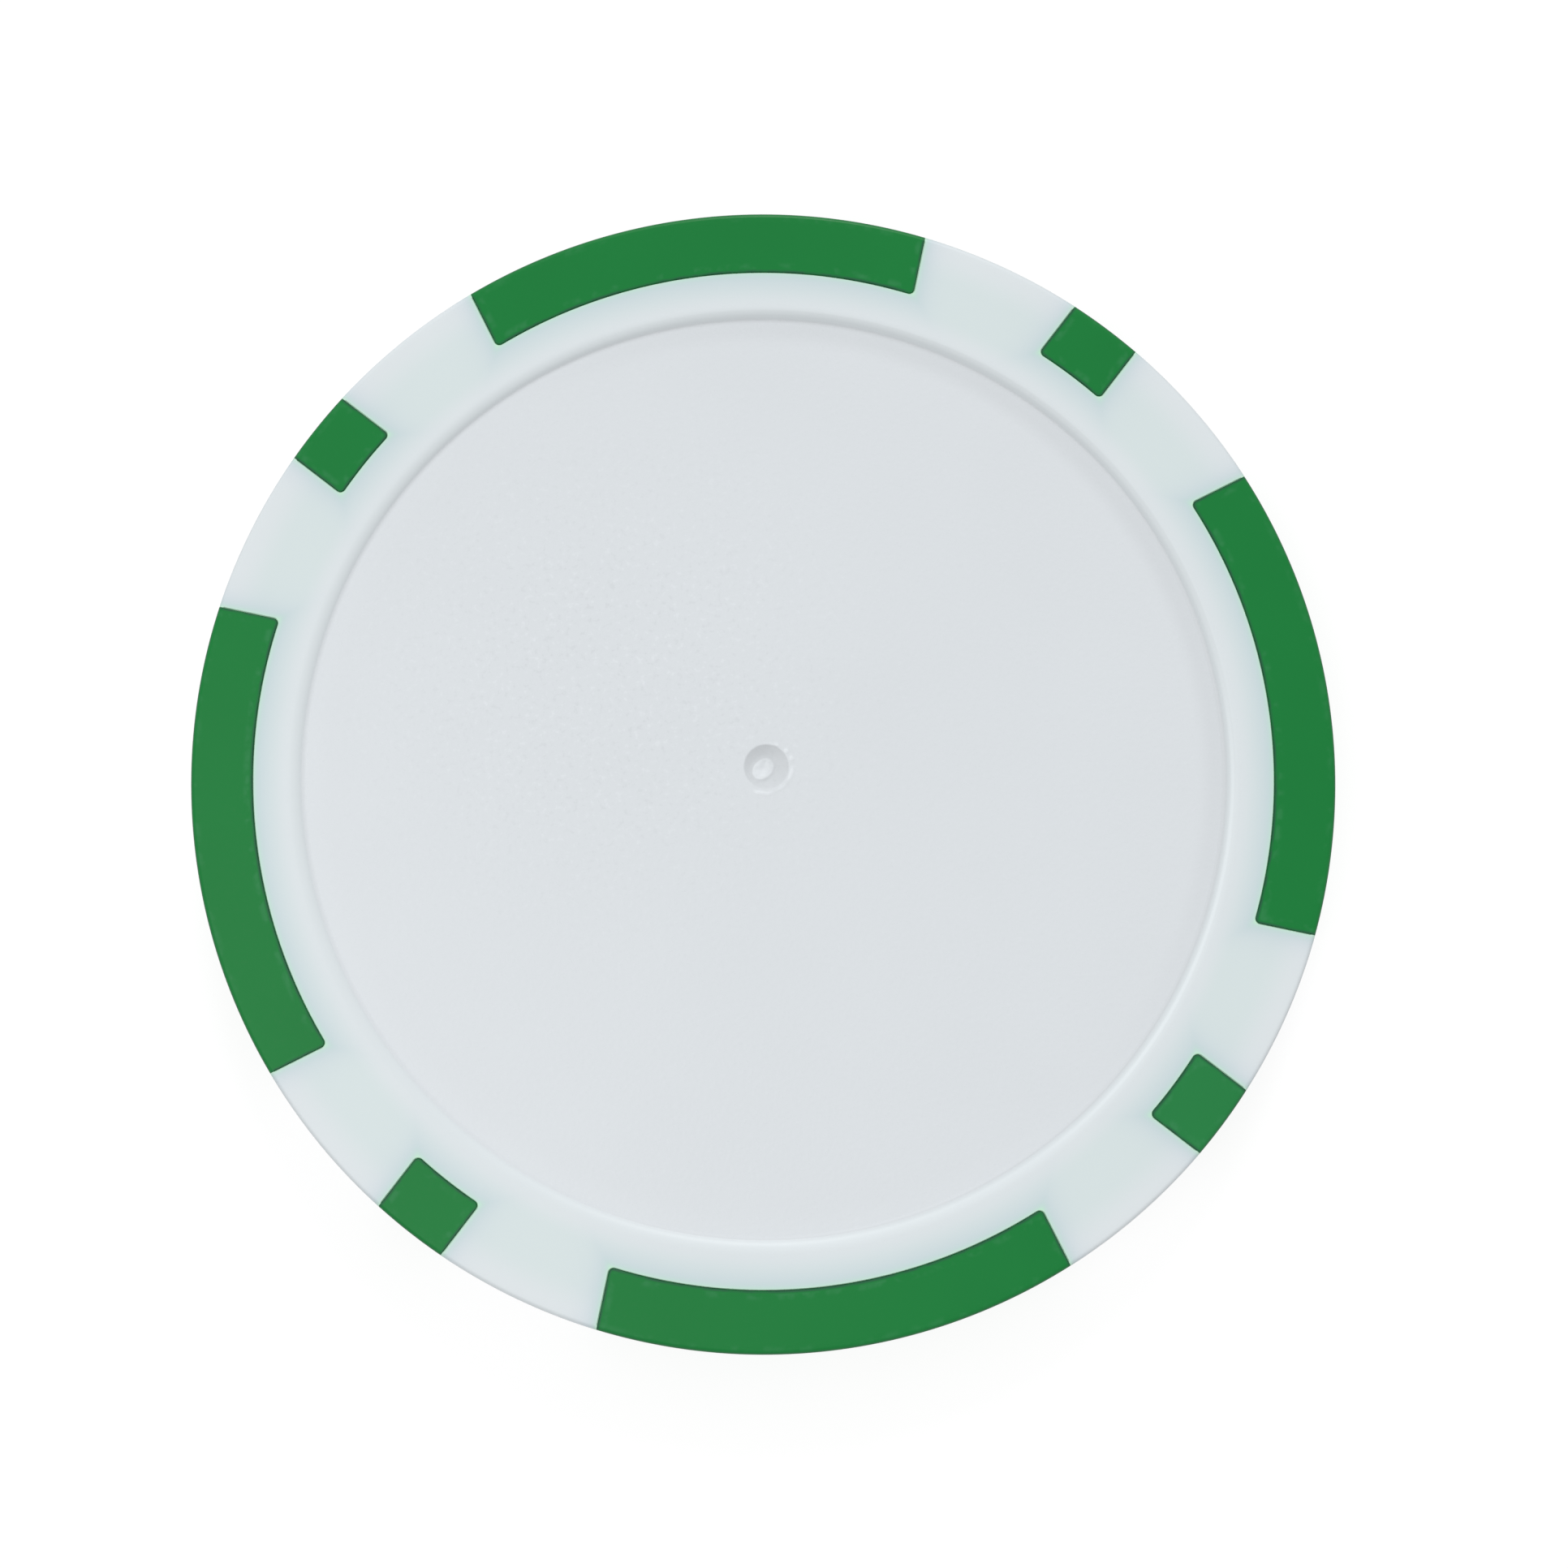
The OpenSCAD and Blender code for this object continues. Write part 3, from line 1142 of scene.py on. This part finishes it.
@dataclass(frozen=True)
class GreenPlastic:
    """Satin green first shot, with a fine dark line and a paler one along the edges of its spots.

    Lengths that name no unit are in millimetres. The dark line is a dark joint at the spots' seams, partly
    painted shade in them, and painted shade along the chip's rounded edge; the paler line is a painted
    highlight.
    """

    colour: Colour = (0.0065, 0.193, 0.038)
    pale_colour: Colour = (0.045, 0.245, 0.095)
    # The paler line is a painted highlight just inside each edge.
    painted_highlight_from: Pair = (0.08, 0.16)
    painted_highlight_to: Pair = (0.2, 0.4)
    painted_highlight_share: float = 0.4
    painted_highlight_patches: Pair = (0.46, 0.68)
    # The dark line is a dark joint at the spots' seams, partly painted shade in them, and painted shade
    # along the chip's rounded edge.
    line_colour: Colour = (0.02, 0.11, 0.052)
    line_width: Pair = (0.04, 0.12)
    line_share: float = 0.95
    line_patches: Pair = (0.35, 0.55)
    line_least: float = 0.55
    patch: float = 0.5
    patch_detail: float = 2.0
    patch_roughness: float = 0.5
    edge_share: float = 0.6
    edge_fall: Pair = (0.1 * MM, 0.3 * MM)
    paler_spot_turn: float = math.radians(-45)
    paler_spot_inset: float = 1.1 * MM
    paler_spot_half: float = 3.0 * MM
    paler_spot_fade: Pair = (0.7, 1.0)
    paler_spot_share: float = 0.26
    mottle_patch: float = 5.0
    mottle_amount: float = 0.12
    grain: Grain = Grain(size=0.12, depth=1.6 * MICRON, roughness=0.36, polish=0.08)
    specular: float = 0.156

    def _lines(self, g: Graph, inside: Socket) -> tuple[Socket, Socket]:
        """Return the shares of the paler line, a painted highlight, and of the dark line at a distance
        inside a spot's edge.
        """
        pale = g.mul(g.step(inside, *self.painted_highlight_from), g.step(inside, *self.painted_highlight_to, self.painted_highlight_share, 0.0))
        return pale, g.step(inside, *self.line_width, self.line_share, 0.0)

    def _paler_spot(self, made: Material, sizes: ChipSizes) -> Socket:
        """Make one of the short spots paler.

        Args:
            made: The material.
            sizes: The chip's sizes.

        Returns:
            The share of the pale colour.
        """
        middle = polar(sizes.radius - self.paler_spot_inset, self.paler_spot_turn, sizes.thickness)
        away, _ = made.graph.ellipse(made.place, middle, 0.0, self.paler_spot_half, self.paler_spot_half)
        return made.graph.step(away, *self.paler_spot_fade, self.paler_spot_share, 0.0)

    def _edge_kept(self, made: Material, sizes: ChipSizes) -> Socket:
        """Let the painted shade and highlight lines along the chip's edge die away down its side.

        Args:
            made: The material.
            sizes: The chip's sizes.

        Returns:
            The share of the lines that is kept.
        """
        g = made.graph
        from_middle = g.math("ABSOLUTE", g.sub(g.parts(made.place)[2], sizes.middle))
        return g.step(g.sub(sizes.middle, from_middle), *self.edge_fall, self.edge_share, 0.0)

    def make(self, effects: SharedEffects, sizes: ChipSizes) -> bpy.types.Material:
        """Build the material.

        Args:
            effects: The shared node groups.
            sizes: The chip's sizes.

        Returns:
            The material.
        """
        made = Material(Slot.GREEN, effects)
        g, field = made.graph, made.effect(effects.spot_field)
        edge_kept = self._edge_kept(made, sizes)
        from_edge = g.sub(sizes.radius * PER_MM, field["Radius"])
        # Along the chip's rounded edge the dark line is painted shade and the paler line a painted
        # highlight.
        edge_lines = (g.mul(line, edge_kept) for line in self._lines(g, from_edge))
        # Along the spots' seams the dark line is a dark joint, partly painted shade, and the paler line a
        # painted highlight.
        spot_lines = self._lines(g, g.greater(field["Inside"], 0.0))
        pale, line = (g.greater(*pair) for pair in zip(spot_lines, edge_lines))
        patches = g.noise(made.place, PER_MM / self.patch, self.patch_detail, self.patch_roughness)
        pale = g.mul(pale, g.step(patches, *self.painted_highlight_patches))
        line = g.mul(line, g.step(patches, *self.line_patches, self.line_least, 1.0))
        colour = g.mix(self._paler_spot(made, sizes), self.colour, self.pale_colour)
        colour = g.mix(line, g.mix(pale, colour, self.pale_colour), self.line_colour)
        return made.finished(
            Base_Color=made.mottled(colour, self.mottle_patch, self.mottle_amount),
            Specular_IOR_Level=self.specular,
            **self.grain.inputs(made),
        )


@dataclass(frozen=True)
class TumbledSteel:
    """Stamped steel, tumbled to a fine dull grain."""

    colour: Colour = (0.33, 0.34, 0.36)
    mottle_patch: float = 3.0
    mottle_amount: float = 0.3
    grain: Grain = Grain(size=0.25, depth=5.0 * MICRON, roughness=0.42, polish=0.15)

    def make(self, effects: SharedEffects) -> bpy.types.Material:
        """Build the material.

        Args:
            effects: The shared node groups.

        Returns:
            The material.
        """
        made = Material(Slot.STEEL, effects)
        colour = made.mottled(self.colour, self.mottle_patch, self.mottle_amount)
        return made.finished(Base_Color=colour, Metallic=1.0, **self.grain.inputs(made))


class ChipTrees:
    """Geometry Nodes trees that join, cut and repeat the chip's pieces."""

    RING_STEPS = 288
    WELD = 0.1 * MICRON
    RING_INPUTS = {"Ring radius": VALUE, "Ring width": VALUE, "Ring thickness": VALUE, "Ring height": VALUE}
    COMMON_INPUTS = {**RING_INPUTS, "Slug": OBJECT, "Finish": MATERIAL}

    def __init__(self) -> None:
        """Build the trees."""
        self.spot_ring = self._spot_ring()
        self.cavity = self._cavity()

    @staticmethod
    def common(sizes: ChipSizes, finish: bpy.types.Material) -> dict[str, object]:
        """Give the inputs that both trees have.

        Args:
            sizes: The chip's sizes.
            finish: The piece's material.

        Returns:
            The inputs' names and values.
        """
        return {
            "Ring radius": sizes.ring_middle_radius,
            "Ring width": sizes.ring_width,
            "Ring thickness": sizes.ring_thickness,
            "Ring height": sizes.middle,
            "Slug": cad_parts[SteelSlug.node],
            "Finish": finish,
        }

    def _ring(self, g: Group) -> Socket:
        """Sweep the linking ring's section round the chip's axis.

        Args:
            g: The tree.

        Returns:
            The ring's geometry.
        """
        radius, width, thickness, height = (g.given[name] for name in self.RING_INPUTS)
        path = g.put("GeometryNodeCurvePrimitiveCircle", Resolution=self.RING_STEPS, Radius=radius)
        section = g.put("GeometryNodeCurvePrimitiveQuadrilateral", Width=width, Height=thickness)
        sweep = g.put("GeometryNodeCurveToMesh", Curve=path, Profile_Curve=section)
        lift = g.put("ShaderNodeCombineXYZ", Z=height)
        return g.put("GeometryNodeTransform", Geometry=sweep, Translation=lift)

    @staticmethod
    def _held(g: Group, name: str) -> Socket:
        """Return the geometry of the object at one of the tree's inputs."""
        return g.fill(g.node("GeometryNodeObjectInfo"), Object=g.given[name]).outputs["Geometry"]

    def _slug(self, g: Group) -> Socket:
        """Return the slug's geometry with its loose triangles welded."""
        return g.put("GeometryNodeMergeByDistance", Geometry=self._held(g, "Slug"), Distance=self.WELD)

    @staticmethod
    def _combined(g: Group, meshes: list[Socket], whole: Socket | None = None) -> Socket:
        """Cut meshes out of a whole one, or join them where there is none.

        Args:
            g: The tree.
            meshes: The meshes.
            whole: The whole mesh.

        Returns:
            The mesh that results.
        """
        how = "DIFFERENCE" if whole else "UNION"
        made = g.node("GeometryNodeMeshBoolean", operation=how, solver="MANIFOLD")
        if whole:
            g.feed(made.inputs["Mesh 1"], whole)
        for mesh in meshes:
            g.feed(made.inputs["Mesh 2"], mesh)
        return made.outputs["Mesh"]

    @staticmethod
    def _dressed(g: Group, geometry: Socket) -> bpy.types.NodeTree:
        """End a tree with a geometry that is made real and gets the piece's finish.

        Args:
            g: The tree.
            geometry: The geometry.

        Returns:
            The tree.
        """
        real = g.put("GeometryNodeRealizeInstances", Geometry=geometry)
        made = g.put("GeometryNodeSetMaterial", Geometry=real, Material=g.given["Finish"])
        return g.finished(Geometry=made)

    def _round_the_rim(self, g: Group, kind: SpotKind, first: float) -> Socket:
        """Repeat a spot round the chip's axis.

        Args:
            g: The tree.
            kind: The kind of spot.
            first: Share of a pitch by which the first spot is turned.

        Returns:
            The spots' geometry.
        """
        pairs = g.given["Pairs"]
        points = g.put("GeometryNodePoints", Count=pairs)
        turn = g.mul(g.add(g.put("GeometryNodeInputIndex"), first), g.math("DIVIDE", TURN, pairs))
        rotation = g.put("FunctionNodeEulerToRotation", Euler=g.put("ShaderNodeCombineXYZ", Z=turn))
        spot = self._held(g, kind.value)
        spots = g.put("GeometryNodeInstanceOnPoints", Points=points, Instance=spot, Rotation=rotation)
        return g.put("GeometryNodeRealizeInstances", Geometry=spots)

    def _spot_ring(self) -> bpy.types.NodeTree:
        """Build the tree that sets the spots round the rim, joins them to the ring and lets the slug in.

        Returns:
            The tree.
        """
        inputs = {"Pairs": COUNT, **{kind.value: OBJECT for kind in SpotKind}, **self.COMMON_INPUTS}
        g = Group("spot_ring_tree", SHAPE_TREE, inputs, {"Geometry": GEOMETRY})
        spots = [self._round_the_rim(g, kind, i / len(SpotKind)) for i, kind in enumerate(SpotKind)]
        joined = self._combined(g, [*spots, self._ring(g)])
        return self._dressed(g, self._combined(g, [self._slug(g)], joined))

    def _cavity(self) -> bpy.types.NodeTree:
        """Build the tree that hollows the white body round the ring and the slug.

        Returns:
            The tree.
        """
        inputs = {"Geometry": GEOMETRY, **self.COMMON_INPUTS}
        g = Group("cavity_tree", SHAPE_TREE, inputs, {"Geometry": GEOMETRY})
        return self._dressed(g, self._combined(g, [self._ring(g), self._slug(g)], g.given["Geometry"]))


def add_object(name: str, mesh: bpy.types.Mesh) -> bpy.types.Object:
    """Put a mesh into the scene.

    Args:
        name: The new object's name.
        mesh: The mesh.

    Returns:
        The object that holds it.
    """
    made = bpy.data.objects.new(name, mesh)
    bpy.context.scene.collection.objects.link(made)
    return made


def run_tree(piece: bpy.types.Object, tree: bpy.types.NodeTree, inputs: dict[str, object]) -> None:
    """Run a Geometry Nodes tree on a piece and keep its result as a plain mesh.

    Args:
        piece: The piece.
        tree: The tree.
        inputs: Values for the tree's named inputs.
    """
    crease = math.radians(35)
    modifier = piece.modifiers.new(tree.name, "NODES")
    modifier.node_group = tree
    for item in tree.interface.items_tree:
        if item.item_type == "SOCKET" and item.in_out == "INPUT" and item.name in inputs:
            modifier[item.identifier] = inputs[item.name]
    view = bpy.context.evaluated_depsgraph_get()
    mesh = bpy.data.meshes.new_from_object(piece.evaluated_get(view))
    piece.modifiers.remove(modifier)
    mesh.name = piece.name
    piece.data = mesh
    mesh.shade_smooth()
    mesh.set_sharp_from_angle(angle=crease)


def stand_in(piece: bpy.types.Object, node: str) -> bpy.types.Object:
    """Let a piece of the chip's body stand for a CAD node.

    Args:
        piece: The piece.
        node: The CAD node's name.

    Returns:
        The piece.
    """
    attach(piece, BODY)
    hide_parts(node)
    return piece


@dataclass(frozen=True)
class WhiteBody:
    """White second shot: both recessed faces and the rim between the spots."""

    sizes: ChipSizes
    section: RimSection
    finish: WhitePlastic
    gate: GateMark
    name: str = "white_body_shell"
    node: str = "white_body"
    gap_columns: int = 24
    lip_steps: int = 10
    rim_shares: tuple[float, ...] = (0.3, 0.6, 0.95, 1.0)
    floor_shares: tuple[float, ...] = (0.01, 0.04, 0.1, 0.2, 0.35, 0.5, 0.65, 0.8, 0.9, 1.0)

    def build(self, trees: ChipTrees, effects: SharedEffects) -> bpy.types.Object:
        """Build and dress the piece.

        Args:
            trees: The Geometry Nodes trees.
            effects: The shared node groups.

        Returns:
            The piece.
        """
        shell = Shell(self.sizes.thickness)
        piece = add_object(self.name, shell.closed(self.name, *(self._half(shell, face) for face in Face)))
        finish = self.finish.make(effects, self.gate, self.sizes.floor_middle)
        run_tree(piece, trees.cavity, trees.common(self.sizes, finish))
        return stand_in(piece, self.node)

    def _spots(self) -> list[tuple[SpotOutline, float]]:
        """Line up the spots round the rim.

        Returns:
            Each spot's outline and the angle that it stands at, with the first spot again at the end.
        """
        outlines = [SpotOutline.of_kind(self.sizes, kind) for kind in SpotKind]
        kinds = len(outlines)
        count = self.sizes.spot_pairs * kinds + 1
        return [(outlines[i % kinds], i / kinds * self.sizes.pitch) for i in range(count)]

    def _columns(self) -> tuple[list[float], list[tuple[int, int]]]:
        """Work out the angles of the columns that run in from the rim.

        Returns:
            The angles, and for each spot the first and last column of its inner arc.
        """
        spots = self._spots()
        angles: list[float] = []
        spans: list[tuple[int, int]] = []
        for (outline, centre), (following, ahead) in zip(spots, spots[1:]):
            reach = outline.inner_angle
            spans.append((len(angles), len(angles) + outline.columns))
            angles += spread(centre - reach, centre + reach, outline.columns)
            angles += spread(centre + reach, ahead - following.inner_angle, self.gap_columns)[1:-1]
        return angles, spans

    def _face_rows(self) -> list[Pair]:
        """Lay out a face inside the spots: the rest of the rim, the lip and the recess floor.

        Returns:
            Radii and heights of its rows, down to the margin of the gate mark.
        """
        sizes, lip = self.sizes, self.sizes.lip_radius
        start, edge, foot = sizes.seam_inner_radius, sizes.recess_top_radius, sizes.recess_floor_radius
        top, floor = sizes.thickness, sizes.floor_middle.z
        rows = [(blend(start, edge, share), top) for share in self.rim_shares]
        for turn in spread(0.0, sizes.lip_turn, self.lip_steps)[1:]:
            rows.append((edge - lip * math.sin(turn), top - lip * (1 - math.cos(turn))))
        return rows + [(blend(foot, self.gate.reach, share), floor) for share in self.floor_shares]

    def _inner_face(self, shell: Shell, face: Face, angles: list[float], rim: Row) -> None:
        """Lay the face inside the spots, to its middle.

        Args:
            shell: The shell.
            face: The face. Only the front one has the gate mark.
            angles: Angles of the columns.
            rim: The row at the spots' inner edge.
        """
        row = rim
        for radius, height in self._face_rows():
            row = shell.bridge(row, shell.arc(face, radius, angles, height), closed=True)
        floor = middle = self.sizes.floor_middle
        if face is Face.FRONT:
            for radius in spread(self.gate.reach, 0.0, self.gate.rows)[1:-1]:
                mark = [shell.point(face, floor + self.gate.place(radius, angle)) for angle in angles]
                row = shell.bridge(row, mark, closed=True)
            middle = floor + self.gate.place(0.0, 0.0)
        centre = shell.point(face, middle)
        shell.faces += [[*pair, centre] for pair in zip(row, [*row[1:], row[0]])]

    def _half(self, shell: Shell, face: Face) -> FaceRows:
        """Lay one half of the body, with a pocket for each spot.

        Args:
            shell: The shell.
            face: The half.

        Returns:
            The rows that the halves meet at.
        """
        sizes = self.sizes
        angles, spans = self._columns()
        rim = shell.arc(face, sizes.seam_inner_radius, angles, sizes.thickness)
        self._inner_face(shell, face, angles, rim)
        arcs = []
        for first, last in spans:
            arc = shell.arc(face, sizes.spot_inner_radius, angles[first : last + 1], sizes.seam_height)
            arcs.append(shell.bridge(rim[first : last + 1], arc))
        bands = []
        for i, (_, last) in enumerate(spans):
            gap = [*rim, rim[0]][last : last + self.gap_columns + 1]
            bands.append(self._band(shell, face, i, [arcs[i][-1], *gap, arcs[(i + 1) % len(arcs)][0]]))
        return FaceRows(arcs, bands)

    def _band(self, shell: Shell, face: Face, index: int, start: Row) -> list[Row]:
        """Lay the rim between a spot and the next one, over its edge to the parting line.

        Args:
            shell: The shell.
            face: The half.
            index: The spot's place in the row of spots.
            start: The row at the spots' inner edge.

        Returns:
            The band's rows.
        """
        lines = []
        for (outline, centre), way in zip(self._spots()[index:], (1, -1)):
            edge = outline.line(self.section, face, self.sizes.seam_half_width)
            for line in (outline.seam(self.section, face), edge):
                lines.append([point.turned(centre, way) for point in line])
        rows = [start]
        for left_seam, left, right_seam, right in list(zip(*lines))[1:]:
            across = [left.toward(right, share) for share in spread(0.0, 1.0, self.gap_columns)]
            rows.append([shell.point(face, polar(*point)) for point in (left_seam, *across, right_seam)])
        return shell.cover(rows)


@dataclass(frozen=True)
class SpotRing:
    """Green first shot: long and short edge spots through the whole thickness, linked by a hidden ring."""

    sizes: ChipSizes
    section: RimSection
    finish: GreenPlastic
    name: str = "spot_ring_shell"
    node: str = "spot_ring"

    def build(self, trees: ChipTrees, effects: SharedEffects) -> bpy.types.Object:
        """Build and dress the piece.

        Args:
            trees: The Geometry Nodes trees.
            effects: The shared node groups.

        Returns:
            The piece.
        """
        spots = {kind.value: add_object(kind.value, self._spot(kind)) for kind in SpotKind}
        piece = add_object(self.name, bpy.data.meshes.new(self.name))
        common = trees.common(self.sizes, self.finish.make(effects, self.sizes))
        run_tree(piece, trees.spot_ring, {"Pairs": self.sizes.spot_pairs, **spots, **common})
        for spot in spots.values():
            bpy.data.objects.remove(spot)
        return stand_in(piece, self.node)

    def _half(self, shell: Shell, face: Face, outline: SpotOutline) -> FaceRows:
        """Lay one half of a spot.

        Args:
            shell: The shell.
            face: The half.
            outline: The spot's outline.

        Returns:
            The rows that the halves meet at.
        """
        sizes, reach = self.sizes, outline.inner_angle
        turns = spread(-reach, reach, outline.columns)
        arc = shell.arc(face, sizes.spot_inner_radius, turns, sizes.seam_height)
        edges = outline.line(self.section, face, -sizes.seam_half_width)
        rows: list[Row] = []
        for seam, edge in zip(outline.seam(self.section, face), edges):
            turns = spread(-edge.angle, edge.angle, outline.columns)
            inside = shell.arc(face, edge.radius, turns, edge.height)
            if rows:
                left, right = shell.arc(face, seam.radius, (-seam.angle, seam.angle), seam.height)
            else:
                left, right = arc[0], arc[-1]
                shell.bridge(arc, inside)
            rows.append([left, *inside, right])
        return FaceRows([arc], [shell.cover(rows)])

    def _spot(self, kind: SpotKind) -> bpy.types.Mesh:
        """Lay out one spot as a closed block that is centred on +X."""
        outline, shell = SpotOutline.of_kind(self.sizes, kind), Shell(self.sizes.thickness)
        return shell.closed(kind.value, *(self._half(shell, face, outline) for face in Face))


@dataclass(frozen=True)
class SteelSlug:
    """Steel slug inside the chip, which keeps its CAD shape."""

    finish: TumbledSteel
    node: str = "steel_slug"

    def build(self, effects: SharedEffects) -> bpy.types.Object:
        """Dress the CAD node.

        Args:
            effects: The shared node groups.

        Returns:
            The piece.
        """
        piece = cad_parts[self.node]
        piece.data.materials.clear()
        piece.data.materials.append(self.finish.make(effects))
        return piece


@dataclass(frozen=True)
class Lamp:
    """A round soft lamp that gives a level surface at the chip's place a share of its light."""

    name: str
    turn: float
    rise: float
    distance: float
    size: float
    share: float

    def hang(self) -> None:
        """Hang the lamp so that it faces the chip."""
        data = bpy.data.lights.new(self.name, "AREA")
        data.shape = "DISK"
        data.size = self.size
        data.energy = math.pi**2 * self.share * self.distance**2 / math.sin(self.rise)
        lamp = bpy.data.objects.new(self.name, data)
        bpy.context.scene.collection.objects.link(lamp)
        way = polar(math.cos(self.rise), self.turn, math.sin(self.rise))
        lamp.location = way * self.distance
        lamp.rotation_mode = "QUATERNION"
        lamp.rotation_quaternion = way.to_track_quat("Z", "Y")


@dataclass(frozen=True)
class Studio:
    """Camera, lamps, world and floor, at the photograph's viewing angle."""

    sizes: ChipSizes
    key: Lamp = Lamp("key_lamp", math.radians(79), math.radians(32), distance=1.5, size=0.48, share=0.18)
    fill: Lamp = Lamp("fill_lamp", math.radians(202), math.radians(66), distance=0.6, size=0.43, share=0.24)
    image_pixels: float = 1932.0
    focal_pixels: float = 2495.5
    sensor_width: float = 36.0
    camera_distance: float = 70.64 * MM
    camera_tilt: float = math.radians(-4.97)
    camera_yaw: float = math.radians(0.53)
    camera_roll: float = math.radians(7.46)
    centre_u: float = 942.3
    centre_v: float = 949.1
    clip_start: float = 1.0 * MM
    clip_end: float = 10.0
    floor_half: float = 2.0
    floor_drop: float = 0.01 * MM
    floor_glow: float = 0.8
    floor_colour: Colour = (0.26, 0.26, 0.26)
    table_colour: Colour = (0.35, 0.35, 0.35)
    white: Colour = (1.0, 1.0, 1.0)

    def build(self) -> None:
        """Set up everything round the chip."""
        scene = bpy.context.scene
        scene.view_settings.view_transform = "Standard"
        self._camera(scene)
        self._world(scene)
        for lamp in (self.key, self.fill):
            lamp.hang()
        self._floor()

    def _camera(self, scene: bpy.types.Scene) -> None:
        """Set the camera over the front face, as the photograph was taken.

        Args:
            scene: The scene.
        """
        data = bpy.data.cameras.new("camera")
        data.sensor_width = self.sensor_width
        data.lens = self.focal_pixels * self.sensor_width / self.image_pixels
        data.shift_x = (self.image_pixels / 2 - self.centre_u) / self.image_pixels
        data.shift_y = (self.centre_v - self.image_pixels / 2) / self.image_pixels
        data.clip_start, data.clip_end = self.clip_start, self.clip_end
        turn = Euler((-self.camera_tilt, -self.camera_yaw, -self.camera_roll)).to_matrix().to_4x4()
        camera = bpy.data.objects.new("camera", data)
        scene.collection.objects.link(camera)
        away = turn @ Vector((0.0, 0.0, self.camera_distance))
        camera.matrix_world = Matrix.Translation(away + Vector((0.0, 0.0, self.sizes.thickness))) @ turn
        scene.camera = camera

    @staticmethod
    def _show(g: Graph, output: str, lit: Socket, seen: Socket) -> None:
        """End a tree with one shader for the light it gives and one for what the camera sees.

        Args:
            g: The tree.
            output: Blender's name for the tree's output node.
            lit: Shader that gives light to the chip.
            seen: Shader that the camera sees, straight or in a reflection or through glass.
        """
        path = g.node("ShaderNodeLightPath").outputs
        mirrored = g.greater(path["Is Glossy Ray"], path["Is Transmission Ray"])
        share = g.greater(path["Is Camera Ray"], mirrored)
        g.fill(g.node(output), Surface=g.feed_first(g.node("ShaderNodeMixShader"), share, lit, seen))

    def _world(self, scene: bpy.types.Scene) -> None:
        """Make an even sky that looks white and gives what the lamps leave of a plain level of light.

        Args:
            scene: The scene.
        """
        scene.world = bpy.data.worlds.new("sky")
        g = Graph.emptied(scene.world)
        levels = (1.0 - self.key.share - self.fill.share, 1.0)
        skies = [g.put("ShaderNodeBackground", Color=opaque(self.white), Strength=level) for level in levels]
        self._show(g, "ShaderNodeOutputWorld", *skies)

    def _floor(self) -> None:
        """Lay a white floor that keeps the chip's shadow."""
        half = self.floor_half
        mesh = bpy.data.meshes.new("floor")
        corners = [(-half, -half), (half, -half), (half, half), (-half, half)]
        mesh.from_pydata([(x, y, -self.floor_drop) for x, y in corners], [], [list(range(len(corners)))])
        floor = add_object("floor", mesh)
        material = bpy.data.materials.new("floor_white")
        g = Graph.emptied(material)
        table = g.put("ShaderNodeBsdfDiffuse", Color=opaque(self.table_colour))
        shadowed = g.put("ShaderNodeBsdfDiffuse", Color=opaque(self.floor_colour))
        glow = g.put("ShaderNodeEmission", Color=opaque(self.white), Strength=self.floor_glow)
        white = g.feed_first(g.node("ShaderNodeAddShader"), shadowed, glow)
        self._show(g, "ShaderNodeOutputMaterial", table, white)
        mesh.materials.append(material)


def main() -> None:
    """Build the chip's pieces in the order in which they are moulded, then the studio."""
    logging.basicConfig(level=logging.INFO, format="%(name)s: %(message)s")
    sizes = ChipSizes.from_frame()
    section = RimSection(sizes)
    effects = SharedEffects(sizes)
    trees = ChipTrees()
    slug = SteelSlug(TumbledSteel())
    ring = SpotRing(sizes, section, GreenPlastic())
    body = WhiteBody(sizes, section, WhitePlastic(), GateMark())
    pieces = [slug.build(effects), ring.build(trees, effects), body.build(trees, effects)]
    for piece in pieces:
        LOG.info("%s: %d faces, %d points", piece.name, len(piece.data.polygons), len(piece.data.vertices))
    Studio(sizes).build()


if __name__ == "__main__":
    main()
